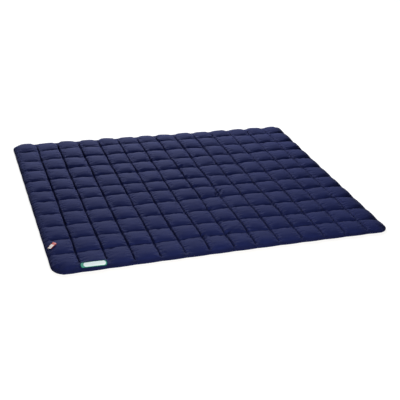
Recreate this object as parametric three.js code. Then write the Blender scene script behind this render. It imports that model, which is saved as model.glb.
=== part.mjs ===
// A quilted dog blanket lying flat on the floor, in millimetres.
// One filled pad is sewn into a grid of puffs and closed by a turned edge.
// A badge is sewn on near the front left corner, and a folded tag on the slope to the left edge.
// +X runs along the long side, +Y to the back and +Z up; the origin is on the floor under the middle.
import * as THREE from "three";

// Outline and sewn grid
const LENGTH = 1000;
const WIDTH = 806;
const COLUMNS = 14;
const ROWS = 11;
const PITCH = { x: 70.7, y: 72.4 };
const GRID_SHIFT = { x: 0.7, y: 5 };
const CORNER_RADIUS = { frontLeft: 34, frontRight: 30, backLeft: 30, backRight: 28 };
const EDGE_DRAW = 2.5;

// Heights above the floor
const CROWN = 20;
const CROWN_SPREAD = 1;
const CROWN_PHASE = { perColumn: 2.1, perRow: 3.7, mixed: 0.6 };
const EDGE_SAG = 2;
const SEAM = { top: 9, under: 4.5 };
const RIM = { top: 5, under: 1.2 };

// Shape of a puff: how flat its crown is, how steeply its sides leave the seam,
// and over how many puffs a seam runs out towards the edge
const CROWN_FLATNESS = 2.6;
const SIDE_FULLNESS = 0.75;
const SEAM_FADE = { front: 0.42, elsewhere: 0.1 };

// Where each puff's faces are divided, as shares of the puff
const TOP_STEPS = [0, 0.1, 0.32, 0.68, 0.9];
const UNDER_STEPS = [0, 0.15, 0.85];
const CONTACT_START = UNDER_STEPS[1];

// Drift towards +X of the left edge, the column seams and the right edge, from front to back
const COLUMN_DRIFT = [
  { front: 0, middle: 0, back: 0 },
  { front: -1, middle: -1, back: 0 },
  { front: -1, middle: -2, back: 1 },
  { front: 0, middle: 0, back: 2 },
  { front: 2, middle: 2, back: 1 },
  { front: 1, middle: 0, back: 0 },
  { front: 0, middle: -1, back: 1 },
  { front: 2, middle: 1, back: -2 },
  { front: -3, middle: -1, back: 0 },
  { front: -2, middle: -2, back: -1 },
  { front: 0, middle: 0, back: -2 },
  { front: -2, middle: 1, back: -3 },
  { front: -1, middle: 1, back: -1 },
  { front: 2, middle: -1, back: 3 },
  { front: 0, middle: 0, back: 0 },
];

// Drift towards +Y of the front edge, the row seams and the back edge, from left to right
const ROW_DRIFT = [
  { left: -1, middle: 8, right: 10 },
  { left: 3, middle: 4, right: -7 },
  { left: 1, middle: 0, right: -8 },
  { left: 2, middle: 0, right: -5 },
  { left: 0, middle: 3, right: -3 },
  { left: 4, middle: 1, right: -4 },
  { left: -2, middle: -5, right: 2 },
  { left: -4, middle: -1, right: 4 },
  { left: -6, middle: -1, right: 2 },
  { left: -8, middle: 2, right: 1 },
  { left: -8, middle: 4, right: 2 },
  { left: -5, middle: -2, right: 0 },
];

// Badge on the front slope of the second puff, and tag on the left edge; both follow the pad.
// Column and row give the middle, counted in puffs; length and width are those on the even grid,
// turn is the angle in degrees from the X axis, and gap is the height above the pad.
const BADGE = {
  column: 1.46, row: 0.165, length: 69, width: 15.5, turn: 0, thickness: 1.2, radius: 6, gap: 0.75,
};
const TAG = {
  column: 0.23, row: 1.49, length: 21, width: 14, turn: 36, thickness: 1.6, radius: 1.5, gap: 0.5,
};
const TRIM_LINES_ALONG = [-1, -0.85, -0.5, 0, 0.5, 0.85, 1];
const TRIM_LINES_ACROSS = [-1, -0.6, 0, 0.6, 1];

const NAVY = new THREE.MeshStandardMaterial({ color: 0x2b3054, roughness: 0.9, metalness: 0 });
const GREEN = new THREE.MeshStandardMaterial({ color: 0x2f9a7c, roughness: 0.7, metalness: 0 });
const CORAL = new THREE.MeshStandardMaterial({ color: 0xd96a55, roughness: 0.8, metalness: 0 });

// A smooth curve through a value at the start, half way and at the end
function throughThree(start, middle, end, share) {
  const rest = 1 - share;
  return start * rest * (1 - 2 * share) + middle * 4 * share * rest + end * share * (2 * share - 1);
}

// How far the edge is drawn in beside a place along it, counted in puffs
function drawnIn(place) {
  return EDGE_DRAW * (1 - Math.abs(Math.sin(Math.PI * place)));
}

// Even place of a seam, or of an edge drawn in between the puffs
function evenPlace(seam, count, pitch, shift, extent, placeAlong) {
  if (seam === 0) {
    return -extent / 2 + drawnIn(placeAlong);
  }
  if (seam === count) {
    return extent / 2 - drawnIn(placeAlong);
  }
  return (seam - count / 2) * pitch + shift;
}

// X of a column seam or side edge at a place counted in rows from the front
function columnSeamX(seam, rowPlace) {
  const { front, middle, back } = COLUMN_DRIFT[seam];
  const even = evenPlace(seam, COLUMNS, PITCH.x, GRID_SHIFT.x, LENGTH, rowPlace);
  return even + throughThree(front, middle, back, rowPlace / ROWS);
}

// Y of a row seam, or of the front or back edge, at a place counted in columns from the left
function rowSeamY(seam, columnPlace) {
  const { left, middle, right } = ROW_DRIFT[seam];
  const even = evenPlace(seam, ROWS, PITCH.y, GRID_SHIFT.y, WIDTH, columnPlace);
  return even + throughThree(left, middle, right, columnPlace / COLUMNS);
}

// How far a patch's point is pulled towards its inner corner so that the outer corner is an arc.
// The point is given as shares of the patch's size, 0 at the inner corner and 1 at the edges.
function cornerPull(alongShare, acrossShare, size, radius) {
  const reach = Math.max(alongShare, acrossShare);
  if (reach === 0) {
    return 1;
  }
  const edge = { x: (alongShare / reach) * size.x, y: (acrossShare / reach) * size.y };
  const centre = { x: size.x - radius, y: size.y - radius };
  if (edge.x <= centre.x || edge.y <= centre.y) {
    return 1;
  }
  const edgeSquared = edge.x ** 2 + edge.y ** 2;
  const towards = edge.x * centre.x + edge.y * centre.y;
  const offset = centre.x ** 2 + centre.y ** 2 - radius ** 2;
  return (towards + Math.sqrt(towards ** 2 - edgeSquared * offset)) / edgeSquared;
}

// Moves a grid place in a corner puff inside the rounded corner
function roundedPlace(column, row) {
  const atSide = column < 1 || column > COLUMNS - 1;
  const atEnd = row < 1 || row > ROWS - 1;
  if (!atSide || !atEnd) {
    return { column, row };
  }
  const innerColumn = column < 1 ? 1 : COLUMNS - 1;
  const innerRow = row < 1 ? 1 : ROWS - 1;
  const side = column < 1 ? "Left" : "Right";
  const end = row < 1 ? "front" : "back";
  const along = Math.abs(column - innerColumn);
  const across = Math.abs(row - innerRow);
  const pull = cornerPull(along, across, PITCH, CORNER_RADIUS[end + side]);
  return {
    column: innerColumn + (column - innerColumn) * pull,
    row: innerRow + (row - innerRow) * pull,
  };
}

// The puff that a place counted in puffs lies in
function puffAt(place, count) {
  return Math.min(Math.floor(place), count - 1);
}

// Plan position of a place counted in puffs from the front left corner
function planPoint(column, row) {
  const place = roundedPlace(column, row);
  const leftSeam = puffAt(place.column, COLUMNS);
  const frontSeam = puffAt(place.row, ROWS);
  const columnShare = place.column - leftSeam;
  const rowShare = place.row - frontSeam;
  const leftX = columnSeamX(leftSeam, place.row);
  const rightX = columnSeamX(leftSeam + 1, place.row);
  const frontY = rowSeamY(frontSeam, place.column);
  const backY = rowSeamY(frontSeam + 1, place.column);
  return {
    x: leftX + (rightX - leftX) * columnShare,
    y: frontY + (backY - frontY) * rowShare,
  };
}

// Puffs from the nearest edge, at most one
function puffsInside(column, row) {
  return Math.min(column, COLUMNS - column, row, ROWS - row, 1);
}

// Height of the sewn lines, sinking from the seams to the rim in the outer puffs
function sewnHeight(rimHeight, seamHeight, column, row) {
  return rimHeight + (seamHeight - rimHeight) * puffsInside(column, row);
}

// Share of its depth that a seam keeps at a place along it: it runs out towards the edges
function seamDepth(placeAlong, countAlong, startFade) {
  const fromEnd = (countAlong - placeAlong) / SEAM_FADE.elsewhere;
  const share = Math.min(1, placeAlong / startFade, fromEnd);
  return share * share * (3 - 2 * share);
}

// Rise of a puff across one direction: 0 on its edge, low on its seams and 1 on its crown
function puffRise(place, count, depth) {
  const share = place - puffAt(place, count);
  const rise = (1 - Math.abs(2 * share - 1) ** CROWN_FLATNESS) ** SIDE_FULLNESS;
  const onEdge = place < 0.5 || place > count - 0.5;
  return onEdge ? rise : 1 - depth * (1 - rise);
}

// Crown of one puff: the fill is a little uneven, and the outer puffs are lower
function crownHeight(column, row) {
  const { perColumn, perRow, mixed } = CROWN_PHASE;
  const unevenness = Math.sin(perColumn * column + perRow * row + mixed * column * row);
  const outer = column === 0 || column === COLUMNS - 1 || row === 0 || row === ROWS - 1;
  return CROWN + CROWN_SPREAD * unevenness - (outer ? EDGE_SAG : 0);
}

function topHeight(column, row) {
  const puffColumn = puffAt(column, COLUMNS);
  const puffRow = puffAt(row, ROWS);
  const acrossColumn = puffRise(column, COLUMNS, seamDepth(row, ROWS, SEAM_FADE.front));
  const acrossRow = puffRise(row, ROWS, seamDepth(column, COLUMNS, SEAM_FADE.elsewhere));
  const base = sewnHeight(RIM.top, SEAM.top, column, row);
  return base + (crownHeight(puffColumn, puffRow) - base) * acrossColumn * acrossRow;
}

// Share of the way from a sewn line to the flat part of a puff's underside
function contactShare(share) {
  return Math.min(1, Math.min(share, 1 - share) / CONTACT_START);
}

function underHeight(column, row) {
  const puffColumn = puffAt(column, COLUMNS);
  const puffRow = puffAt(row, ROWS);
  const contact = contactShare(column - puffColumn) * contactShare(row - puffRow);
  return sewnHeight(RIM.under, SEAM.under, column, row) * (1 - contact);
}

// Grid places from the first edge to the last, each puff divided alike
function puffLines(count, steps) {
  const lines = [];
  for (let puff = 0; puff < count; puff += 1) {
    for (const step of steps) {
      lines.push(puff + step);
    }
  }
  lines.push(count);
  return lines;
}

// One face of a piece: a grid of points over lines along X and across Y
function makeFace(along, across, pointAt) {
  const points = along.map((a) => across.map((b) => pointAt(a, b)));
  return { along, across, points };
}

// The face's border as points in order, anticlockwise from the front left corner.
// Each has its place round the border, with a whole number at each corner.
function faceBorder({ along, across, points }) {
  const lastColumn = along.length - 1;
  const lastRow = across.length - 1;
  const alongShare = (i) => (along[i] - along[0]) / (along[lastColumn] - along[0]);
  const acrossShare = (j) => (across[j] - across[0]) / (across[lastRow] - across[0]);
  const border = [];
  for (let i = 0; i < lastColumn; i += 1) {
    border.push({ point: points[i][0], place: alongShare(i) });
  }
  for (let j = 0; j < lastRow; j += 1) {
    border.push({ point: points[lastColumn][j], place: 1 + acrossShare(j) });
  }
  for (let i = lastColumn; i > 0; i -= 1) {
    border.push({ point: points[i][lastRow], place: 3 - alongShare(i) });
  }
  for (let j = lastRow; j > 0; j -= 1) {
    border.push({ point: points[0][j], place: 4 - acrossShare(j) });
  }
  border.push({ point: points[0][0], place: 4 });
  return border;
}

// Triangles of one face, up or down
function faceTriangles({ along, across, points }, facesUp) {
  const triangles = [];
  for (let i = 0; i < along.length - 1; i += 1) {
    for (let j = 0; j < across.length - 1; j += 1) {
      const near = points[i][j];
      const right = points[i + 1][j];
      const far = points[i + 1][j + 1];
      const left = points[i][j + 1];
      if (facesUp) {
        triangles.push([near, right, far], [near, far, left]);
      } else {
        triangles.push([near, far, right], [near, left, far]);
      }
    }
  }
  return triangles;
}

// Triangles of the edge between two faces, whose borders may have different numbers of points
function edgeTriangles(top, under) {
  const upper = faceBorder(top);
  const lower = faceBorder(under);
  const triangles = [];
  let i = 0;
  let j = 0;
  while (i < upper.length - 1 || j < lower.length - 1) {
    const upperNext = i < upper.length - 1 ? upper[i + 1].place : Infinity;
    const lowerNext = j < lower.length - 1 ? lower[j + 1].place : Infinity;
    if (upperNext <= lowerNext) {
      triangles.push([upper[i].point, lower[j].point, upper[i + 1].point]);
      i += 1;
    } else {
      triangles.push([upper[i].point, lower[j].point, lower[j + 1].point]);
      j += 1;
    }
  }
  return triangles;
}

function closedMesh(name, material, top, under) {
  const triangles = [
    ...faceTriangles(top, true),
    ...faceTriangles(under, false),
    ...edgeTriangles(top, under),
  ];
  const geometry = new THREE.BufferGeometry().setFromPoints(triangles.flat());
  geometry.computeVertexNormals();
  const mesh = new THREE.Mesh(geometry, material);
  mesh.name = name;
  return mesh;
}

function quiltedPad() {
  const surface = (height) => (column, row) => {
    const { x, y } = planPoint(column, row);
    return new THREE.Vector3(x, y, height(column, row));
  };
  const topAlong = puffLines(COLUMNS, TOP_STEPS);
  const topAcross = puffLines(ROWS, TOP_STEPS);
  const underAlong = puffLines(COLUMNS, UNDER_STEPS);
  const underAcross = puffLines(ROWS, UNDER_STEPS);
  const top = makeFace(topAlong, topAcross, surface(topHeight));
  const under = makeFace(underAlong, underAcross, surface(underHeight));
  return closedMesh("quilted_pad", NAVY, top, under);
}

// A flat trim sewn on the pad, with rounded corners, lying just above its surface
function sewnTrim(name, material, { column, row, length, width, turn, thickness, radius, gap }) {
  const half = { x: length / 2, y: width / 2 };
  const cosine = Math.cos(THREE.MathUtils.degToRad(turn));
  const sine = Math.sin(THREE.MathUtils.degToRad(turn));
  const surface = (lift) => (alongShare, acrossShare) => {
    const pull = cornerPull(Math.abs(alongShare), Math.abs(acrossShare), half, radius);
    const along = alongShare * pull * half.x;
    const across = acrossShare * pull * half.y;
    const placeColumn = column + (along * cosine - across * sine) / PITCH.x;
    const placeRow = row + (along * sine + across * cosine) / PITCH.y;
    const { x, y } = planPoint(placeColumn, placeRow);
    return new THREE.Vector3(x, y, topHeight(placeColumn, placeRow) + lift);
  };
  const top = makeFace(TRIM_LINES_ALONG, TRIM_LINES_ACROSS, surface(gap + thickness));
  const under = makeFace(TRIM_LINES_ALONG, TRIM_LINES_ACROSS, surface(gap));
  return closedMesh(name, material, top, under);
}

const blanket = new THREE.Group();
blanket.add(quiltedPad());
blanket.add(sewnTrim("badge", GREEN, BADGE));
blanket.add(sewnTrim("edge_tag", CORAL, TAG));

export default blanket;
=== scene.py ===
"""Looks of a quilted dog blanket lying flat: a pad of sewn puffs, its stitching, a badge and an edge tag.

Metres, +X along the long side, +Y to the back and +Z up; the floor is at z = 0.
A place on the blanket is counted in puffs from its front left corner, as (column, row).
"""
import math
from typing import NamedTuple

import bpy
import numpy as np
from mathutils import Matrix, Vector
from mathutils.bvhtree import BVHTree


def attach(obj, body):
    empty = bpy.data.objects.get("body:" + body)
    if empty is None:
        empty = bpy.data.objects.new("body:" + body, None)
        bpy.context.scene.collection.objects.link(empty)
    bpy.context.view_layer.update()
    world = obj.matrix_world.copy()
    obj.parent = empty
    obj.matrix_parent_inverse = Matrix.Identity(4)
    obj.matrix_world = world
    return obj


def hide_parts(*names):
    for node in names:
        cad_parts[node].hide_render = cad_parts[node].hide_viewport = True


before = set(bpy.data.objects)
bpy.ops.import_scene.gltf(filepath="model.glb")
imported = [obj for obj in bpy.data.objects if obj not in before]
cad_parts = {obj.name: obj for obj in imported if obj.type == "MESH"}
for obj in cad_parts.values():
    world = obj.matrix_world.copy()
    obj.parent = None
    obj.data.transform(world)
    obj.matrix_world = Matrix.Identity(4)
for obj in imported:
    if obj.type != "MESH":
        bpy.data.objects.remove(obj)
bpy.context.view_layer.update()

MM = 0.001
TINY = 1e-9
BODY = "root"
SEED = 7

# Outline and sewn grid
LENGTH = 1000 * MM
WIDTH = 806 * MM
COLUMNS = 14
ROWS = 11
PITCH = np.array((70.7, 72.4)) * MM
GRID_SHIFT = np.array((0.7, 5)) * MM
CORNER_RADIUS = np.array(((34, 30), (30, 28))) * MM  # front left and right, back left and right
EDGE_DRAW = np.array(((0.6, 2.5), (1.5, 2.5))) * MM  # left and right, front and back
SEAM_WOBBLE = 0.8 * MM

# Drift towards +X of the left edge, the column seams and the right edge
COLUMN_DRIFT = MM * np.array([  # front, middle, back
    (0, 0, 0),
    (-1, -1, 0),
    (-1, -2, 1),
    (0, 0, 2),
    (2, 2, 1),
    (1, 0, 0),
    (0, -1, 1),
    (2, 1, -2),
    (-3, -1, 0),
    (-2, -2, -1),
    (0, 0, -2),
    (-2, 1, -3),
    (-1, 1, -1),
    (2, -1, 3),
    (0, 0, 0),
])

# Drift towards +Y of the front edge, the row seams and the back edge
ROW_DRIFT = MM * np.array([  # left, middle, right
    (-1, 8, 10),
    (3, 4, -7),
    (1, 0, -8),
    (2, 0, -5),
    (0, 3, -3),
    (4, 1, -4),
    (-2, -5, 2),
    (-4, -1, 4),
    (-6, -1, 2),
    (-8, 2, 1),
    (-8, 4, 2),
    (-5, -2, 0),
])

# Heights above the floor
SEAM_TOP = 5.8 * MM
SEAM_BOW = 0.4 * MM
SEAM_UNDER = 4.0 * MM
RIM_TOP = 4.6 * MM
RIM_GROOVE = 3.2 * MM
RIM_UNDER = 1.6 * MM
GROOVE_INSET = 0.8 * MM
CROWN = 19.5 * MM
CROWN_SPREAD = 0.65 * MM
CROWN_TILT = np.array((3.0, 2.0)) * MM  # across and along
EDGE_SAG = 2 * MM
CREASE_BELOW_SEAM = 0.5 * MM


class Section(NamedTuple):
    """A puff's section from a seam to its middle: a narrow flat seam, a steep wall and a dome.

    Depth is how much of the wall's height the seam takes. Seam and wall are widths, and lines the
    places of the top face's grid lines, in half puffs. Pinch is how much wider the wall is at a crossing.
    Flatness is that of the dome, and edge_flatness that of the slope to the blanket's edge. The seam runs
    out over run_out puffs at its start, and opens into a notch over the last notch puffs before its end.
    """

    depth: float
    seam: float
    wall: float
    pinch: float
    flatness: float
    edge_flatness: float
    run_out: float
    notch: float
    lines: tuple


# The column seams are deep channels; the row seams, sewn across them, are shallow
COLUMN_LINES = (0, 0.012, 0.035, 0.06, 0.095, 0.15, 0.25, 0.43, 0.7)
ROW_LINES = (0, 0.016, 0.045, 0.09, 0.16, 0.25, 0.35, 0.46, 0.57, 0.68, 0.79, 0.9)
COLUMN_SECTION = Section(1.0, 0.012, 0.07, 0.7, 2.7, 2.8, 0.25, 0.5, COLUMN_LINES)
ROW_SECTION = Section(0.29, 0.016, 0.055, 0.5, 2.3, 2.5, 0.45, 0.9, ROW_LINES)
WALL_SHARE = 0.47
NOTCH_WALL = 0.6
CONTACT_START = 0.36


class Crease(NamedTuple):
    """A fold mark between two places: a soft trough, or a ridge where its depth is below zero."""

    start: tuple
    end: tuple
    reach: float
    depth: float


# Most fold marks lie along the middle, where the blanket was folded
CREASES = [
    Crease((7.80, 4.12), (8.02, 4.42), 3.0 * MM, 6.5 * MM),
    Crease((8.02, 4.24), (8.17, 4.50), 2.8 * MM, 6.0 * MM),
    Crease((7.90, 4.14), (8.10, 4.42), 2.6 * MM, -4.0 * MM),
    Crease((8.12, 4.10), (8.26, 4.36), 3.0 * MM, -3.5 * MM),
    Crease((6.93, 7.03), (7.16, 7.12), 3.4 * MM, 7.0 * MM),
    Crease((7.02, 7.17), (7.20, 7.23), 2.8 * MM, -3.0 * MM),
    Crease((6.84, 6.02), (7.08, 6.12), 3.2 * MM, 6.5 * MM),
    Crease((6.95, 5.03), (7.20, 5.10), 3.4 * MM, 7.0 * MM),
    Crease((7.04, 5.16), (7.22, 5.21), 2.6 * MM, -3.0 * MM),
    Crease((6.96, 3.02), (7.14, 3.10), 4.5 * MM, 7.0 * MM),
    Crease((6.98, 2.02), (7.22, 2.10), 3.2 * MM, 6.5 * MM),
    Crease((7.10, 1.93), (7.16, 1.94), 3.0 * MM, -3.5 * MM),
    Crease((6.96, 1.03), (7.20, 1.12), 3.6 * MM, 7.5 * MM),
    Crease((7.00, 1.17), (7.18, 1.24), 2.8 * MM, -3.0 * MM),
    Crease((5.92, 1.03), (6.12, 1.12), 3.2 * MM, 6.5 * MM),
    Crease((6.08, 0.93), (6.20, 0.98), 2.6 * MM, -4.0 * MM),
    Crease((11.85, 2.02), (12.10, 2.12), 3.2 * MM, 6.0 * MM),
    Crease((11.95, 1.90), (12.06, 1.93), 2.8 * MM, -3.3 * MM),
]

# Columns with a finer grid, for the fold marks on their puffs. It adds an even number of lines,
# because the underside takes every second line.
FINE_COLUMNS = (7.7, 8.3)

# Cloth of the top face
SHAPE_HOLD = 0.35
CREASE_HOLD = 0.8
CREASE_STIFF = 2 * MM
ROUGH_START = 0.2 * MM
PRESSURE = 1.5
SLACK = (0.02, 0.18)
COLUMN_SLACK = (0.2, 1.0)  # shares of the slack along the column seams
ROW_SLACK = (0.0, 0.25)  # and along the row seams
PUCKER_REACH = 0.8
FRAMES = 20
LARGEST_MOVE = 8 * MM

# Sewn-on trim: place of its centre, length along X and width, corner radius
BADGE_PLACE = (1.46, 0.165)
BADGE_SIZE = np.array((69, 15.5)) * MM
BADGE_RADIUS = 6 * MM
BADGE_THICKNESS = 0.9 * MM
BADGE_HOLD = 0.14  # puffs beyond the badge over which its hold on the cloth fades
BADGE_LEVEL = 1.75  # the column whose height the cloth has under the badge
FIELD_SHIFT = 2.2 * MM
FIELD_SIZE = np.array((58.5, 11.8)) * MM
FIELD_RADIUS = 5.6 * MM
FIELD_THICKNESS = 0.5 * MM
FIELD_SINK = 0.1 * MM
BORDER_RADIUS = 0.7 * MM
WRAP_PITCH = 1.3 * MM
WRAP_SWELL = 0.14
TAG_PLACE = (0.25, 1.49)
TAG_SIZE = np.array((21, 14)) * MM
TAG_TURN = math.radians(36)
TAG_SPRING = 2.5 * MM
RIBBON_THICKNESS = 0.35 * MM
RIBBON_GAP = 0.5 * MM
TRIM_GAP = 0.15 * MM
TRIM_CLEARS = 0.97  # share of the pad's points that lie below the trim
RAY_START = 100 * MM


class Axis(NamedTuple):
    """One direction across the sewn grid: its puffs, and the number of puffs along its seams."""

    count: int
    along_count: int
    pitch: float
    shift: float
    extent: float
    draw: np.ndarray
    drift: np.ndarray
    section: Section


ACROSS_X = Axis(COLUMNS, ROWS, PITCH[0], GRID_SHIFT[0], LENGTH, EDGE_DRAW[0], COLUMN_DRIFT, COLUMN_SECTION)
ACROSS_Y = Axis(ROWS, COLUMNS, PITCH[1], GRID_SHIFT[1], WIDTH, EDGE_DRAW[1], ROW_DRIFT, ROW_SECTION)


def through_three(three, share):
    """A smooth curve through a value at the start, half way and at the end."""
    rest = 1 - share
    start, middle, end = np.moveaxis(three, -1, 0)
    return start * rest * (1 - 2 * share) + middle * 4 * share * rest + end * share * (2 * share - 1)


def smooth_step(share):
    share = np.clip(share, 0, 1)
    return share * share * (3 - 2 * share)


def seam_place(axis, seam, along):
    """Where a seam or edge lies across one axis, at a place along it."""
    drawn = 1 - np.abs(np.sin(np.pi * along))
    even = (seam - axis.count / 2) * axis.pitch + axis.shift
    even = np.where(seam == 0, axis.draw[0] * drawn - axis.extent / 2, even)
    even = np.where(seam == axis.count, axis.extent / 2 - axis.draw[1] * drawn, even)
    return even + through_three(axis.drift[seam], along / axis.along_count)


def puff_at(place, count):
    return np.clip(np.floor(place).astype(int), 0, count - 1)


def between_seams(axis, place, along):
    seam = puff_at(place, axis.count)
    low = seam_place(axis, seam, along)
    high = seam_place(axis, seam + 1, along)
    return low + (high - low) * (place - seam)


def corner_pull(along, across, size, radius):
    """How far a patch's point moves to its inner corner so that the outer corner is an arc."""
    reach = np.maximum(np.maximum(along, across), TINY)
    edge_x = along / reach * size[0]
    edge_y = across / reach * size[1]
    centre_x = size[0] - radius
    centre_y = size[1] - radius
    squared = np.maximum(edge_x**2 + edge_y**2, TINY)
    towards = edge_x * centre_x + edge_y * centre_y
    offset = centre_x**2 + centre_y**2 - radius**2
    pull = (towards + np.sqrt(np.maximum(towards**2 - squared * offset, 0))) / squared
    return np.where((edge_x > centre_x) & (edge_y > centre_y), pull, 1.0)


def rounded_place(column, row):
    """Moves a place in a corner puff inside the rounded corner."""
    inner_column = np.clip(column, 1, COLUMNS - 1)
    inner_row = np.clip(row, 1, ROWS - 1)
    radius = CORNER_RADIUS[(row > ROWS / 2).astype(int), (column > COLUMNS / 2).astype(int)]
    pull = corner_pull(np.abs(column - inner_column), np.abs(row - inner_row), PITCH, radius)
    return inner_column + (column - inner_column) * pull, inner_row + (row - inner_row) * pull


def make_wobble():
    """A small shift of each seam crossing, none on the edges."""
    rng = np.random.default_rng(SEED)
    wobble = rng.normal(0, SEAM_WOBBLE, (COLUMNS + 1, ROWS + 1, 2))
    wobble[[0, -1]] = 0
    wobble[:, [0, -1]] = 0
    return wobble


WOBBLE = make_wobble()


def wobble_at(column, row):
    i = puff_at(column, COLUMNS)
    j = puff_at(row, ROWS)
    u = smooth_step(column - i)[..., None]
    v = smooth_step(row - j)[..., None]
    front = WOBBLE[i, j] * (1 - u) + WOBBLE[i + 1, j] * u
    back = WOBBLE[i, j + 1] * (1 - u) + WOBBLE[i + 1, j + 1] * u
    return front * (1 - v) + back * v


def plan(column, row):
    """Plan position of a place on the blanket, as an array of x and y."""
    column, row = np.broadcast_arrays(np.asarray(column, float), np.asarray(row, float))
    round_column, round_row = rounded_place(column, row)
    x = between_seams(ACROSS_X, round_column, round_row)
    y = between_seams(ACROSS_Y, round_row, round_column)
    return np.stack([x, y], -1) + wobble_at(round_column, round_row)


def sewn_height(rim, seam, column, row):
    """Height of the sewn lines: they sink to the rim in the outer puffs and dip at the crossings."""
    nearest = np.minimum(np.minimum(column, COLUMNS - column), np.minimum(row, ROWS - row))
    bow = SEAM_BOW * (np.sin(np.pi * column) ** 2 + np.sin(np.pi * row) ** 2 - 0.5)
    return rim + (seam + bow - rim) * np.minimum(nearest, 1)


def from_seam(place):
    """Distance from the nearest seam, in half puffs."""
    return 2 * np.minimum(place % 1, 1 - place % 1)


def puff_section(axis, place, along):
    """Shares of the wall's and the dome's height across a puff, at a place along its seams.

    The outer puffs slope softly to their edge.
    """
    section = axis.section
    depth = from_seam(place)
    inner = np.clip((depth - section.seam) / (1 - section.seam), 0, 1)
    opened = 1 - smooth_step((axis.along_count - along) / section.notch)
    width = section.wall * (1 + section.pinch * np.cos(np.pi * along) ** 2)
    width = width + (NOTCH_WALL - width) * opened
    sewn = smooth_step(along / section.run_out)
    depth_here = sewn * (section.depth + (1 - section.depth) * opened)
    wall = 1 - depth_here * (1 - smooth_step(inner / width))
    dome = 1 - sewn * (1 - inner) ** section.flatness
    edge = 1 - (1 - depth) ** section.edge_flatness
    outer = (place < 0.5) | (place > axis.count - 0.5)
    return np.where(outer, edge, wall), np.where(outer, edge, dome)


def crown_height(column, row):
    """Each puff is filled to its own height and a little more on one side."""
    rng = np.random.default_rng(SEED + 4)
    spread = np.clip(rng.normal(0, CROWN_SPREAD, (COLUMNS, ROWS)), -2 * CROWN_SPREAD, 2 * CROWN_SPREAD)
    tilt = rng.uniform(-CROWN_TILT, CROWN_TILT, (COLUMNS, ROWS, 2))
    i = puff_at(column, COLUMNS)
    j = puff_at(row, ROWS)
    outer = (i == 0) | (i == COLUMNS - 1) | (j == 0) | (j == ROWS - 1)
    leaning = tilt[i, j, 0] * (2 * (column - i) - 1) + tilt[i, j, 1] * (2 * (row - j) - 1)
    return CROWN + spread[i, j] - EDGE_SAG * outer + leaning


def crease_depth(column, row):
    """How far the fold marks lower a place."""
    place = np.stack([column, row], -1) * PITCH
    depth = np.zeros(np.shape(column))
    for crease in CREASES:
        start = np.array(crease.start) * PITCH
        along = np.array(crease.end) * PITCH - start
        share = np.clip((place - start) @ along / (along @ along), 0, 1)
        away = np.linalg.norm(place - start - share[..., None] * along, axis=-1)
        depth += crease.depth * np.exp(-((away / crease.reach) ** 2))
    return depth


def under_badge(column, row):
    """How firmly the badge holds a place of the top face straight, from 0 to 1."""
    away = np.abs(np.stack([column, row], -1) - BADGE_PLACE) - BADGE_SIZE / PITCH / 2
    return 1 - smooth_step(away.max(-1) / BADGE_HOLD)


def filled_height(column, row):
    """Height of the filled top face without the badge."""
    base = sewn_height(RIM_TOP, SEAM_TOP, column, row)
    column_wall, column_dome = puff_section(ACROSS_X, column, row)
    row_wall, row_dome = puff_section(ACROSS_Y, row, column)
    rise = WALL_SHARE * column_wall * row_wall + (1 - WALL_SHARE) * column_dome * row_dome
    filled = base + (crown_height(column, row) - base) * rise
    return np.maximum(filled - crease_depth(column, row), base - CREASE_BELOW_SEAM)


def top_height(column, row):
    """Height of the top face before its cloth gathers: straight from end to end under the badge."""
    column, row = np.broadcast_arrays(np.asarray(column, float), np.asarray(row, float))
    free = filled_height(column, row)
    straight = filled_height(np.full(column.shape, BADGE_LEVEL), row)
    return free + (straight - free) * under_badge(column, row)


def grid_lines(axis, fine=(0, 0)):
    """Places of the top face's grid lines across an axis, twice as close in the fine stretch."""
    half = np.array(axis.section.lines) / 2
    puff = np.concatenate([half, [0.5], 1 - half[:0:-1]])
    lines = np.append((np.arange(axis.count)[:, None] + puff).ravel(), axis.count)
    middles = (lines[:-1] + lines[1:]) / 2
    inside = (middles > fine[0]) & (middles < fine[1])
    return np.sort(np.concatenate([lines, middles[inside]]))


def grid_quads(shape, first=0, flipped=False):
    """Corner numbers of a grid's faces, whose points are numbered row by row from first."""
    number = first + np.arange(shape[0] * shape[1]).reshape(shape)
    corners = [number[:-1, :-1], number[1:, :-1], number[1:, 1:], number[:-1, 1:]]
    if flipped:
        corners.reverse()
    return np.stack([c.ravel() for c in corners], -1)


def grid_border(shape, first=0):
    """Numbers of a grid's border points, anticlockwise seen from above."""
    number = first + np.arange(shape[0] * shape[1]).reshape(shape)
    return np.concatenate([number[:-1, 0], number[-1, :-1], number[:0:-1, -1], number[0, :0:-1]])


def loop_quads(upper, lower):
    """Faces of a band between two closed loops with as many points."""
    return np.stack([upper, lower, np.roll(lower, -1), np.roll(upper, -1)], -1)


def new_object(name, points, *face_arrays):
    """A smooth mesh object from points and arrays of faces."""
    mesh = bpy.data.meshes.new(name)
    faces = [face for group in face_arrays for face in np.asarray(group).tolist()]
    mesh.from_pydata(np.asarray(points).reshape(-1, 3).tolist(), [], faces)
    mesh.validate()
    mesh.shade_smooth()
    piece = bpy.data.objects.new(name, mesh)
    bpy.context.scene.collection.objects.link(piece)
    return piece


def add_uv(piece, name, places):
    """A UV map that gives each point its place on the flat cloth."""
    mesh = piece.data
    corner_points = np.empty(len(mesh.loops), np.int32)
    mesh.loops.foreach_get("vertex_index", corner_points)
    layer = mesh.uv_layers.new(name=name)
    layer.uv.foreach_set("vector", np.asarray(places, np.float32).reshape(-1, 2)[corner_points].ravel())


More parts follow.
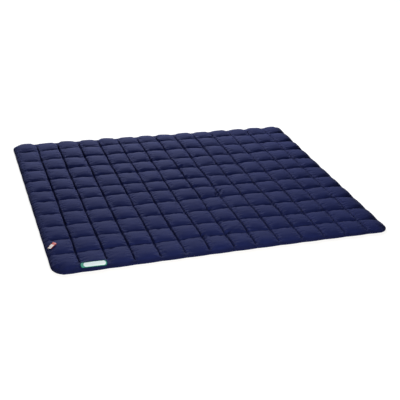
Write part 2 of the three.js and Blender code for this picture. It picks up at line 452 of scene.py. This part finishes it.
def sharpen(piece, marked):
    """Makes the edges between marked points sharp for shading."""
    mesh = piece.data
    ends = np.empty(len(mesh.edges) * 2, np.int32)
    mesh.edges.foreach_get("vertices", ends)
    sharp = mesh.attributes.new("sharp_edge", "BOOLEAN", "EDGE")
    sharp.data.foreach_set("value", marked[ends.reshape(-1, 2)].all(1))


def points_of(mesh):
    points = np.empty(len(mesh.vertices) * 3, np.float32)
    mesh.vertices.foreach_get("co", points)
    return points.reshape(-1, 3).astype(float)


def set_weights(piece, name, weights, levels=20):
    """A vertex group with the weights rounded to a few levels."""
    group = piece.vertex_groups.new(name=name)
    level = np.round(np.asarray(weights, float).ravel() * levels).astype(int)
    for value in np.unique(level):
        group.add(np.nonzero(level == value)[0].tolist(), float(value) / levels, "REPLACE")
    return group.name


def slack_weights(column, row):
    """Loose cloth along the seams, most along the columns: it gathers there in puckers."""
    rng = np.random.default_rng(SEED + 2)
    along_columns = rng.uniform(*COLUMN_SLACK, (COLUMNS + 1, ROWS))
    along_rows = rng.uniform(*ROW_SLACK, (COLUMNS, ROWS + 1))
    near_column = along_columns[np.round(column).astype(int), puff_at(row, ROWS)]
    near_row = along_rows[puff_at(column, COLUMNS), np.round(row).astype(int)]
    by_column = near_column * (1 - smooth_step(from_seam(column) / PUCKER_REACH))
    by_row = near_row * (1 - smooth_step(from_seam(row) / PUCKER_REACH))
    return np.maximum(by_column, by_row)


def gather(sheet, sewn, column, row):
    """Lets the loose cloth of the sheet buckle between its sewn lines; returns its points."""
    creased = np.clip(np.abs(crease_depth(column, row)) / CREASE_STIFF, 0, 1)
    hold = SHAPE_HOLD + (CREASE_HOLD - SHAPE_HOLD) * np.maximum(creased, under_badge(column, row))
    cloth = sheet.modifiers.new("cloth", "CLOTH")
    settings = cloth.settings
    settings.quality = 6
    settings.mass = 0.3
    settings.air_damping = 1.5
    settings.tension_stiffness = 15
    settings.compression_stiffness = 15
    settings.shear_stiffness = 6
    settings.bending_stiffness = 0.3
    settings.use_pressure = True
    settings.uniform_pressure_force = PRESSURE
    settings.vertex_group_mass = set_weights(sheet, "held", np.where(sewn, 1, hold))
    settings.pin_stiffness = 1
    settings.vertex_group_shrink = set_weights(sheet, "slack", slack_weights(column, row))
    settings.shrink_min = -SLACK[0]
    settings.shrink_max = -SLACK[1]
    settings.effector_weights.gravity = 0
    cloth.collision_settings.use_collision = False
    cloth.point_cache.frame_start = 1
    cloth.point_cache.frame_end = FRAMES
    scene = bpy.context.scene
    for number in range(1, FRAMES + 1):
        scene.frame_set(number)
    settled = sheet.evaluated_get(bpy.context.evaluated_depsgraph_get())
    points = points_of(settled.data)
    scene.frame_set(1)
    return points


def top_points(column, row, sewn):
    """Points of the top face, with the puckers of its cloth."""
    filled = np.dstack([plan(column, row), top_height(column, row)])
    rng = np.random.default_rng(SEED + 3)
    start = filled.copy()
    start[..., 2] += rng.normal(0, ROUGH_START, column.shape) * ~sewn
    sheet = new_object("top_sheet", start, grid_quads(column.shape))
    settled = gather(sheet, sewn, column, row).reshape(start.shape)
    bpy.data.objects.remove(sheet)
    move = settled - filled
    reach = np.linalg.norm(move, axis=-1, keepdims=True)
    return filled + move * np.minimum(1, LARGEST_MOVE / np.maximum(reach, TINY))


def under_points(column, row):
    """Points of the underside: puffs flattened on the floor and drawn up at the seams."""
    base = sewn_height(RIM_UNDER, SEAM_UNDER, column, row)
    contact = smooth_step(from_seam(column) / CONTACT_START) * smooth_step(from_seam(row) / CONTACT_START)
    return np.dstack([plan(column, row), base * (1 - contact)])


def outward_of(loop):
    """Unit vectors out of a closed anticlockwise plan loop."""
    along = np.roll(loop, -1, axis=0) - np.roll(loop, 1, axis=0)
    out = np.stack([along[:, 1], -along[:, 0]], -1)
    return out / np.linalg.norm(out, axis=1, keepdims=True)


def make_pad():
    """The pad as one closed mesh: top face, turned edge with a groove, and a coarser underside."""
    columns = grid_lines(ACROSS_X, FINE_COLUMNS)
    rows = grid_lines(ACROSS_Y)
    column, row = np.meshgrid(columns, rows, indexing="ij")
    sewn = (from_seam(column) < COLUMN_SECTION.seam + TINY) | (from_seam(row) < ROW_SECTION.seam + TINY)
    top = top_points(column, row, sewn)
    under_column, under_row = np.meshgrid(columns[::2], rows[::2], indexing="ij")
    under = under_points(under_column, under_row)

    border = grid_border(column.shape)
    under_border = grid_border(under_column.shape, column.size)
    rim = top.reshape(-1, 3)[border, :2]
    groove = np.column_stack([rim - GROOVE_INSET * outward_of(rim), np.full(len(rim), RIM_GROOVE)])
    groove_loop = column.size + under_column.size + np.arange(len(rim))
    points = np.concatenate([top.reshape(-1, 3), under.reshape(-1, 3), groove])
    even = groove_loop[::2]
    odd = groove_loop[1::2]
    pad = new_object(
        "quilt", points,
        grid_quads(column.shape),
        grid_quads(under_column.shape, column.size, flipped=True),
        loop_quads(border, groove_loop),
        np.stack([even, under_border, odd], -1),
        np.stack([odd, under_border, np.roll(under_border, -1), np.roll(even, -1)], -1),
    )
    flat = plan(column, row).reshape(-1, 2)
    under_flat = plan(under_column, under_row).reshape(-1, 2)
    add_uv(pad, "cloth", np.concatenate([flat, under_flat, flat[border]]))
    puffs = np.stack([column, row], -1).reshape(-1, 2)
    under_puffs = np.stack([under_column, under_row], -1).reshape(-1, 2)
    add_uv(pad, "puffs", np.concatenate([puffs, under_puffs, puffs[border]]))
    marked = np.zeros(len(points), bool)
    marked[np.concatenate([border, under_border, groove_loop])] = True
    sharpen(pad, marked)
    return pad


# Sewing thread
STITCH_PITCH = 3.6 * MM
STITCH_LENGTH = 2.7 * MM
STITCH_RADIUS = 0.27 * MM
STITCH_DIP = 0.25 * MM
STITCH_SIDES = 5
PATH_STEPS = 24  # a puff


def stitches_along(path):
    """Points of a row of stitches along a line of points, as (stitch, ring, side)."""
    steps = np.linalg.norm(np.diff(path, axis=0), axis=1)
    length = np.concatenate([[0], np.cumsum(steps)])
    # Four rings a stitch: thin sunken ends and a full middle
    stations = np.array((-0.5, -0.3, 0.3, 0.5)) * STITCH_LENGTH
    radii = np.array((0.45, 1, 1, 0.45)) * STITCH_RADIUS
    dips = np.array((1, 0, 0, 1)) * STITCH_DIP
    middles = np.arange(STITCH_PITCH, length[-1] - STITCH_PITCH, STITCH_PITCH)
    places = middles[:, None] + stations
    centres = np.stack([np.interp(places, length, path[:, k]) for k in range(3)], -1)
    centres[..., 2] += STITCH_RADIUS - dips
    along = centres[:, -1] - centres[:, 0]
    along /= np.linalg.norm(along, axis=1, keepdims=True)
    side = np.stack([-along[:, 1], along[:, 0], np.zeros(len(along))], -1)
    up = np.cross(along, side)
    angle = 2 * np.pi * np.arange(STITCH_SIDES) / STITCH_SIDES
    around = np.cos(angle)[:, None] * side[:, None] + np.sin(angle)[:, None] * up[:, None]
    return centres[:, :, None] + radii[:, None, None] * around[:, None]


def make_stitching(name, paths):
    """All stitches along some seams as one mesh."""
    points = np.concatenate([stitches_along(path) for path in paths])
    count, rings, sides, _ = points.shape
    number = np.arange(count * rings * sides).reshape(count, rings, sides)
    around = np.roll(number, -1, axis=2)
    walls = np.stack([number[:, :-1], around[:, :-1], around[:, 1:], number[:, 1:]], -1)
    return new_object(name, points, walls.reshape(-1, 4), number[:, 0, ::-1], number[:, -1])


def seam_path(column, row):
    return np.column_stack([plan(column, row), top_height(column, row)])


def seam_paths(along_columns):
    """Lines of points along the column seams or the row seams."""
    if along_columns:
        row = np.arange(ROWS * PATH_STEPS + 1) / PATH_STEPS
        return [seam_path(np.full(len(row), float(seam)), row) for seam in range(1, COLUMNS)]
    column = np.arange(COLUMNS * PATH_STEPS + 1) / PATH_STEPS
    return [seam_path(column, np.full(len(column), float(seam))) for seam in range(1, ROWS)]


class StiffSurface:
    """A smooth surface that rests on the pad round a place, for trim that bends less than the cloth."""

    def __init__(self, tree, centre, size, turn=0.0):
        self.centre = np.asarray(centre)
        self.scale = np.asarray(size) / 2
        self.axes = np.array(((math.cos(turn), math.sin(turn)), (-math.sin(turn), math.cos(turn))))
        samples = 25
        share = np.linspace(-1, 1, samples)
        a, b = (grid.ravel() for grid in np.meshgrid(share, share))
        places = self.centre + np.column_stack([a, b]) * self.scale @ self.axes
        heights = np.array([self.cast(tree, place) for place in places])
        self.terms = np.linalg.lstsq(self.basis(a, b), heights, rcond=None)[0]
        self.terms[0] += max(np.quantile(heights - self.basis(a, b) @ self.terms, TRIM_CLEARS), 0)

    @staticmethod
    def cast(tree, place):
        return tree.ray_cast(Vector((*place, RAY_START)), Vector((0, 0, -1)))[0].z

    @staticmethod
    def basis(a, b):
        return np.stack([np.ones_like(a), a, b, a * a, a * b, b * b], -1)

    def points(self, local, lift):
        """Points at plan offsets from the centre, lifted off the surface."""
        local = np.asarray(local)
        share = local / self.scale
        height = self.basis(share[..., 0], share[..., 1]) @ self.terms
        return np.concatenate([self.centre + local @ self.axes, (height + lift)[..., None]], -1)


def slab(name, surface, size, radius, low, high, shift=0.0):
    """A thin plate with rounded corners between two heights above a surface."""
    points_along = 61
    points_across = 17
    edge_drop = 0.3 * (high - low)
    a, b = np.meshgrid(np.linspace(-1, 1, points_along), np.linspace(-1, 1, points_across), indexing="ij")
    half = size / 2
    pull = corner_pull(np.abs(a), np.abs(b), half, radius)
    local = np.stack([a * half[0] * pull + shift, b * half[1] * pull], -1)
    outer = np.maximum(np.abs(a), np.abs(b)) == 1
    top = surface.points(local, high - edge_drop * outer)
    bottom = surface.points(local, np.full(a.shape, low))
    piece = new_object(
        name, np.concatenate([top.reshape(-1, 3), bottom.reshape(-1, 3)]),
        grid_quads(a.shape),
        grid_quads(a.shape, a.size, flipped=True),
        loop_quads(grid_border(a.shape), grid_border(a.shape, a.size)),
    )
    add_uv(piece, "cloth", np.concatenate([local.reshape(-1, 2)] * 2))
    return piece


def rounded_outline(size, radius, count):
    """Points evenly along a rounded rectangle, anticlockwise, and its length."""
    arc_points = 33
    half = size / 2 - radius
    angle = np.linspace(0, np.pi / 2, arc_points)
    arcs = []
    for turn, (x, y) in enumerate(((1, 1), (-1, 1), (-1, -1), (1, -1))):
        swept = angle + turn * np.pi / 2
        arcs.append(np.array((x, y)) * half + radius * np.column_stack([np.cos(swept), np.sin(swept)]))
    path = np.concatenate([*arcs, arcs[0][:1]])
    length = np.concatenate([[0], np.cumsum(np.linalg.norm(np.diff(path, axis=0), axis=1))])
    places = np.arange(count) / count * length[-1]
    return np.column_stack([np.interp(places, length, path[:, k]) for k in range(2)]), length[-1]


def wrapped_border(name, surface, size, radius, height):
    """A thin border of thread wrapped round the edge of a badge."""
    count = 840
    sides = 8
    path, length = rounded_outline(size, radius, count)
    wraps = round(length / WRAP_PITCH)
    swell = 1 + WRAP_SWELL * np.cos(2 * np.pi * wraps * np.arange(count) / count)
    centres = surface.points(path, np.full(count, height))
    out = np.column_stack([outward_of(path), np.zeros(count)])
    angle = 2 * np.pi * np.arange(sides) / sides
    around = np.cos(angle)[:, None] * out[:, None] + np.sin(angle)[:, None] * np.array((0, 0, 1.0))
    points = centres[:, None] + BORDER_RADIUS * swell[:, None, None] * around
    number = np.arange(count * sides).reshape(count, sides)
    ahead = np.roll(number, -1, axis=0)
    faces = np.stack([number, ahead, np.roll(ahead, -1, axis=1), np.roll(number, -1, axis=1)], -1)
    piece = new_object(name, points, faces.reshape(-1, 4))
    along = np.repeat(np.arange(count) / count * length, sides)
    add_uv(piece, "cloth", np.column_stack([along, np.tile(angle * BORDER_RADIUS, count)]))
    return piece


def folded_ribbon(name, surface, size):
    """A ribbon folded double: its two ends at the blanket's edge, its fold on the puff."""
    straight_points = 22
    turn_points = 9
    across_points = 9
    length, width = size
    fold_radius = (RIBBON_THICKNESS + RIBBON_GAP) / 2
    middle = TRIM_GAP + RIBBON_THICKNESS / 2 + fold_radius
    straight = np.linspace(-length / 2, length / 2 - fold_radius, straight_points)
    turn = np.linspace(np.pi / 2, -np.pi / 2, turn_points)[1:-1]
    end = straight[-1]
    along = np.concatenate([straight, end + fold_radius * np.cos(turn), straight[::-1]])
    flat = np.ones(straight_points)
    out_along = np.concatenate([0 * flat, np.cos(turn), 0 * flat])
    out_lift = np.concatenate([flat, np.sin(turn), -flat])
    lift = middle + fold_radius * out_lift
    across = np.linspace(-width / 2, width / 2, across_points)
    shells = []
    for side in (1, -1):
        offset = side * RIBBON_THICKNESS / 2
        place = along + offset * out_along
        local = np.stack(np.broadcast_arrays(place[:, None], across), -1)
        spring = TAG_SPRING * (place / length + 0.5) ** 2
        height = lift + spring + offset * out_lift
        shells.append(surface.points(local, height[:, None] + np.zeros_like(across)))
    shape = shells[0].shape[:2]
    first = shape[0] * shape[1]
    piece = new_object(
        name, np.concatenate([shell.reshape(-1, 3) for shell in shells]),
        grid_quads(shape),
        grid_quads(shape, first, flipped=True),
        loop_quads(grid_border(shape), grid_border(shape, first)),
    )
    travel = np.linspace(0, 1, shape[0])
    side_place = np.linspace(0, 1, across_points)
    uv = np.stack(np.broadcast_arrays(travel[:, None], side_place), -1).reshape(-1, 2)
    add_uv(piece, "ribbon", np.concatenate([uv, uv]))
    return piece


class Nodes:
    """A short way to build a material's nodes."""

    def __init__(self, name):
        self.material = bpy.data.materials.new(name)
        self.material.use_nodes = True
        self.tree = self.material.node_tree
        self.shader = self.tree.nodes["Principled BSDF"]

    def add(self, kind, inputs, **settings):
        """A node with its settings, and with values or other nodes' outputs on its inputs."""
        node = self.tree.nodes.new(kind)
        for name, value in settings.items():
            setattr(node, name, value)
        for name, source in inputs.items():
            self.put(node.inputs[name], source)
        return node

    def put(self, socket, source):
        if isinstance(source, bpy.types.NodeSocket):
            self.tree.links.new(source, socket)
        else:
            socket.default_value = source

    def surface(self, **values):
        """Sets the shader's inputs, named with underscores for spaces."""
        for name, source in values.items():
            self.put(self.shader.inputs[name.replace("_", " ")], source)

    def uv(self, name):
        return self.add("ShaderNodeUVMap", {}, uv_map=name).outputs["UV"]

    def noise(self, place, scale, detail=3.0):
        inputs = {"Vector": place, "Scale": scale, "Detail": detail}
        return self.add("ShaderNodeTexNoise", inputs).outputs["Fac"]

    def waves(self, place, scale, direction, distortion=0.6):
        inputs = {"Vector": place, "Scale": scale, "Distortion": distortion}
        return self.add("ShaderNodeTexWave", inputs, bands_direction=direction).outputs["Fac"]

    def math(self, operation, first, second=0.0):
        return self.add("ShaderNodeMath", {0: first, 1: second}, operation=operation).outputs[0]

    def mix(self, share, first, second):
        inputs = {"Fac": share, "Color1": first, "Color2": second}
        return self.add("ShaderNodeMixRGB", inputs).outputs[0]

    def ramp(self, value, start, end):
        """A smooth rise from 0 to 1 between two values."""
        inputs = {"Value": value, "From Min": start, "From Max": end}
        return self.add("ShaderNodeMapRange", inputs, interpolation_type="SMOOTHSTEP").outputs[0]

    def bump(self, height, strength, distance, under=None):
        """A relief, on top of another one where that is given."""
        inputs = {"Height": height, "Strength": strength, "Distance": distance}
        if under is not None:
            inputs["Normal"] = under
        return self.add("ShaderNodeBump", inputs).outputs[0]

    def parts(self, place):
        """The X, Y and Z of a place."""
        return self.add("ShaderNodeSeparateXYZ", {"Vector": place}).outputs

    def away(self, value, middle):
        """How far a value is from a middle."""
        return self.math("ABSOLUTE", self.math("SUBTRACT", value, middle))


def srgb(red, green, blue):
    """Linear colour of an sRGB colour given in 0 to 255."""
    share = np.array((red, green, blue)) / 255
    linear = np.where(share <= 0.04045, share / 12.92, ((share + 0.055) / 1.055) ** 2.4)
    return (*linear.tolist(), 1.0)


# Weave, and small puckers: how many lie in a metre along and across, the height of their relief, and
# where it starts and is whole, in puffs from a puff's middle
WEAVE_PITCH = 0.55 * MM
PUCKER_SCALE = (45.0, 140.0, 1.0)
PUCKER_RELIEF = 7.0 * MM
PUCKER_FADE = (0.1, 0.46)

# Painted shade, a darker base colour in the column seams and at the edges: where it starts and is whole in
# puffs, and its share
SEAM_PAINTED_SHADE = (0.38, 0.47)
SEAM_PAINTED_SHADE_SHARE = 0.12
LEFT_PAINTED_SHADE = (0.14, 0.01)
RIGHT_PAINTED_SHADE = (COLUMNS - 0.5, COLUMNS - 0.15)
FRONT_PAINTED_SHADE = (0.15, 0.02)
EDGE_PAINTED_SHADE_SHARE = 0.6

# Ribbon, in shares of its length and width: how far the coral reaches from the fold and how ragged
# it ends, where the side lines start from the middle, and the pitch of the weave
CORAL_REACH = 0.26
CORAL_RAGGED = 0.03
SIDE_LINE_START = 0.4
RIBBON_WEAVE_PITCH = 0.03

# Waves of the wave texture at scale 1 have this length
WAVE_UNIT = 2 * math.pi / 20


def wave_scale(pitch):
    """Scale of a wave texture whose waves are a pitch apart."""
    return WAVE_UNIT / pitch


def from_puff_middle(n, column):
    """Distance from the middle of a puff's column, in puffs."""
    return n.away(n.math("FRACT", column), 0.5)


def fine_puckers(n, place):
    """Heights of the small puckers that run out from the column seams, up and down from 0."""
    stretched = n.add("ShaderNodeVectorMath", {0: place, 1: PUCKER_SCALE}, operation="MULTIPLY").outputs[0]
    from_middle = from_puff_middle(n, n.parts(n.uv("puffs"))["X"])
    uneven = n.math("SUBTRACT", n.noise(stretched, 1.0), 0.5)
    return n.math("MULTIPLY", uneven, n.ramp(from_middle, *PUCKER_FADE))


def with_painted_shade(n, tone):
    """Paints shade into a tone: darker in the column seams and along the front and side edges."""
    puffs = n.parts(n.uv("puffs"))
    seam = n.ramp(from_puff_middle(n, puffs["X"]), *SEAM_PAINTED_SHADE)
    left_edge_shade = n.ramp(puffs["X"], *LEFT_PAINTED_SHADE)
    right_edge_shade = n.ramp(puffs["X"], *RIGHT_PAINTED_SHADE)
    front_edge_shade = n.ramp(puffs["Y"], *FRONT_PAINTED_SHADE)
    edge = n.math("MAXIMUM", n.math("MAXIMUM", left_edge_shade, right_edge_shade), front_edge_shade)
    # Painted shade: the column seams get a darker, bluer base colour
    seam_shade_painted = n.mix(n.math("MULTIPLY", seam, SEAM_PAINTED_SHADE_SHARE), tone, srgb(4, 8, 60))
    # Painted shade along the left, right and front edges of the pad
    return n.mix(n.math("MULTIPLY", edge, EDGE_PAINTED_SHADE_SHARE), seam_shade_painted, srgb(8, 12, 44))


def quilt_cloth():
    """Fine matt navy weave with a soft sheen, puckered along the column seams."""
    n = Nodes("navy_cloth")
    place = n.uv("cloth")
    warp = n.waves(place, wave_scale(WEAVE_PITCH), "X")
    weft = n.waves(place, wave_scale(WEAVE_PITCH), "Y")
    puckered = n.bump(fine_puckers(n, place), 1.0, PUCKER_RELIEF)
    woven = n.bump(n.math("MAXIMUM", warp, weft), 0.4, 0.15 * MM, puckered)
    tone = n.mix(n.noise(place, 22.0), srgb(19, 27, 72), srgb(27, 36, 87))
    # The base colour carries painted shade in the column seams and along the edges
    n.surface(Base_Color=with_painted_shade(n, tone), Roughness=0.85, Normal=woven)
    n.surface(Sheen_Weight=0.07, Sheen_Roughness=0.4, Sheen_Tint=srgb(146, 160, 225))
    n.surface(Specular_IOR_Level=0.08)
    return n.material


def thread(name, dark, light):
    """Matt sewing thread with an uneven tone."""
    n = Nodes(name)
    place = n.add("ShaderNodeTexCoord", {}).outputs["Object"]
    n.surface(Base_Color=n.mix(n.noise(place, 400.0), dark, light), Roughness=0.9, Specular_IOR_Level=0.02)
    return n.material


def satin(name, dark, light, direction, pitch):
    """Close rows of embroidery thread or a twill."""
    n = Nodes(name)
    place = n.uv("cloth")
    rows = n.waves(place, wave_scale(pitch), direction)
    tone = n.mix(n.noise(place, 300.0), dark, light)
    n.surface(Base_Color=tone, Roughness=0.55, Normal=n.bump(rows, 0.5, 0.2 * MM))
    n.surface(Sheen_Weight=0.2, Specular_IOR_Level=0.35)
    return n.material


def ribbon_cloth():
    """White ribbon, coral round its fold, with a dark red line along each side."""
    n = Nodes("tag_ribbon")
    place = n.uv("ribbon")
    parts = n.parts(place)
    from_fold = n.away(parts["X"], 0.5)
    from_middle = n.away(parts["Y"], 0.5)
    ragged = n.math("MULTIPLY", n.noise(place, 60.0), CORAL_RAGGED)
    coral = n.math("LESS_THAN", n.math("ADD", from_fold, ragged), CORAL_REACH)
    field = n.mix(coral, srgb(255, 250, 252), srgb(214, 110, 108))
    lined = n.mix(n.math("GREATER_THAN", from_middle, SIDE_LINE_START), field, srgb(128, 40, 44))
    weave = n.waves(place, wave_scale(RIBBON_WEAVE_PITCH), "X")
    n.surface(Base_Color=lined, Roughness=0.5, Normal=n.bump(weave, 0.3, 0.1 * MM))
    n.surface(Specular_IOR_Level=0.35)
    return n.material


def declare(piece, material, slot, *nodes):
    """Gives a piece its material and body, and hides the solids that it stands for; its slot is not used."""
    piece.data.materials.append(material)
    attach(piece, BODY)
    if nodes:
        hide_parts(*nodes)


def make_badge(tree):
    """A green twill base with a plain white field and a wrapped rim."""
    surface = StiffSurface(tree, plan(*BADGE_PLACE), BADGE_SIZE)
    base_top = TRIM_GAP + BADGE_THICKNESS
    base = slab("badge_base", surface, BADGE_SIZE, BADGE_RADIUS, TRIM_GAP, base_top)
    field = slab(
        "badge_field", surface, FIELD_SIZE, FIELD_RADIUS,
        base_top - FIELD_SINK, base_top + FIELD_THICKNESS, FIELD_SHIFT)
    border = wrapped_border("badge_border", surface, BADGE_SIZE, BADGE_RADIUS, TRIM_GAP + BORDER_RADIUS)
    twill = satin("badge_twill", srgb(54, 136, 126), srgb(78, 164, 154), "DIAGONAL", 0.7 * MM)
    white = satin("badge_white", srgb(200, 226, 242), srgb(226, 242, 254), "Y", 0.5 * MM)
    rim = thread("badge_rim", srgb(6, 54, 54), srgb(16, 76, 74))
    declare(base, twill, "badge_weave", "badge")
    declare(field, white, "badge_weave")
    declare(border, rim, "badge_weave")


def make_tag(tree):
    surface = StiffSurface(tree, plan(*TAG_PLACE), TAG_SIZE, TAG_TURN)
    tag = folded_ribbon("folded_tag", surface, TAG_SIZE)
    declare(tag, ribbon_cloth(), "tag_ribbon", "edge_tag")


def make_blanket():
    pad = make_pad()
    declare(pad, quilt_cloth(), "quilt_cloth", "quilted_pad")
    navy_thread = thread("navy_thread", srgb(13, 19, 60), srgb(19, 26, 74))
    declare(make_stitching("column_stitching", seam_paths(True)), navy_thread, "quilt_cloth")
    declare(make_stitching("row_stitching", seam_paths(False)), navy_thread, "quilt_cloth")
    tree = BVHTree.FromObject(pad, bpy.context.evaluated_depsgraph_get())
    make_badge(tree)
    make_tag(tree)


def make_floor():
    reach = 60.0
    depth = -0.3 * MM
    corners = [(-reach, -reach, depth), (reach, -reach, depth), (reach, reach, depth), (-reach, reach, depth)]
    floor = new_object("floor", corners, [(0, 1, 2, 3)])
    n = Nodes("pale_floor")
    n.surface(Base_Color=(0.3, 0.3, 0.3, 1), Roughness=0.9, Specular_IOR_Level=0.1)
    n.surface(Emission_Color=(1, 1, 1, 1), Emission_Strength=0.82)
    floor.data.materials.append(n.material)


def direction(azimuth, elevation):
    """Unit vector from the blanket to a place seen from it; azimuth 0 is in front, 90 to the right."""
    azimuth = math.radians(azimuth)
    elevation = math.radians(elevation)
    level = math.cos(elevation)
    return Vector((math.sin(azimuth) * level, -math.cos(azimuth) * level, math.sin(elevation)))


class Softbox(NamedTuple):
    """A round soft light: the way to it, its distance and width, its strength on the blanket and its tint."""

    name: str
    azimuth: float
    elevation: float
    distance: float
    width: float
    strength: float
    tint: tuple


COOL = (0.93, 0.95, 1.0)
WARM = (1.0, 0.91, 0.77)
SOFTBOXES = (
    Softbox("main_softbox", 172, 26, 3.2, 1.2, 4.75, COOL),
    Softbox("front_softbox", -5, 18, 1.6, 1.0, 2.9, WARM),
)
FILL_LIGHT = 0.08


def make_light():
    """One softbox behind the blanket, a weaker one in front of it, and a faint even fill."""
    world = bpy.data.worlds.new("studio")
    world.use_nodes = True
    background = world.node_tree.nodes["Background"]
    background.inputs["Color"].default_value = (1, 1, 1, 1)
    background.inputs["Strength"].default_value = FILL_LIGHT
    bpy.context.scene.world = world
    for box in SOFTBOXES:
        light = bpy.data.lights.new(box.name, "AREA")
        light.shape = "DISK"
        light.size = box.width
        light.color = box.tint
        light.energy = box.strength * math.pi * box.distance**2
        towards = direction(box.azimuth, box.elevation)
        lamp = bpy.data.objects.new(box.name, light)
        lamp.location = towards * box.distance
        lamp.rotation_euler = towards.to_track_quat("Z", "Y").to_euler()
        lamp.visible_camera = False
        bpy.context.scene.collection.objects.link(lamp)


# The photo's view
VIEW_AZIMUTH = -21.909
VIEW_ELEVATION = 28.064
VIEW_ROLL = math.radians(4.983)
VIEW_DISTANCE = 2.3146
VIEW_TARGET = Vector((0.0068, -0.0893, 0.0))
FOCAL_SHARE = 1.8712  # focal length over the picture's width


def make_camera():
    data = bpy.data.cameras.new("camera")
    data.sensor_fit = "HORIZONTAL"
    data.lens = data.sensor_width * FOCAL_SHARE
    camera = bpy.data.objects.new("camera", data)
    back = direction(VIEW_AZIMUTH, VIEW_ELEVATION)
    level = Vector((0, 0, 1)).cross(back).normalized()
    upright = back.cross(level)
    right = level * math.cos(VIEW_ROLL) + upright * math.sin(VIEW_ROLL)
    up = upright * math.cos(VIEW_ROLL) - level * math.sin(VIEW_ROLL)
    turn = Matrix((right, up, back)).transposed().to_4x4()
    camera.matrix_world = Matrix.Translation(VIEW_TARGET + back * VIEW_DISTANCE) @ turn
    bpy.context.scene.collection.objects.link(camera)
    bpy.context.scene.camera = camera


make_camera()
make_light()
make_floor()
make_blanket()
bpy.context.scene.view_settings.view_transform = "Standard"
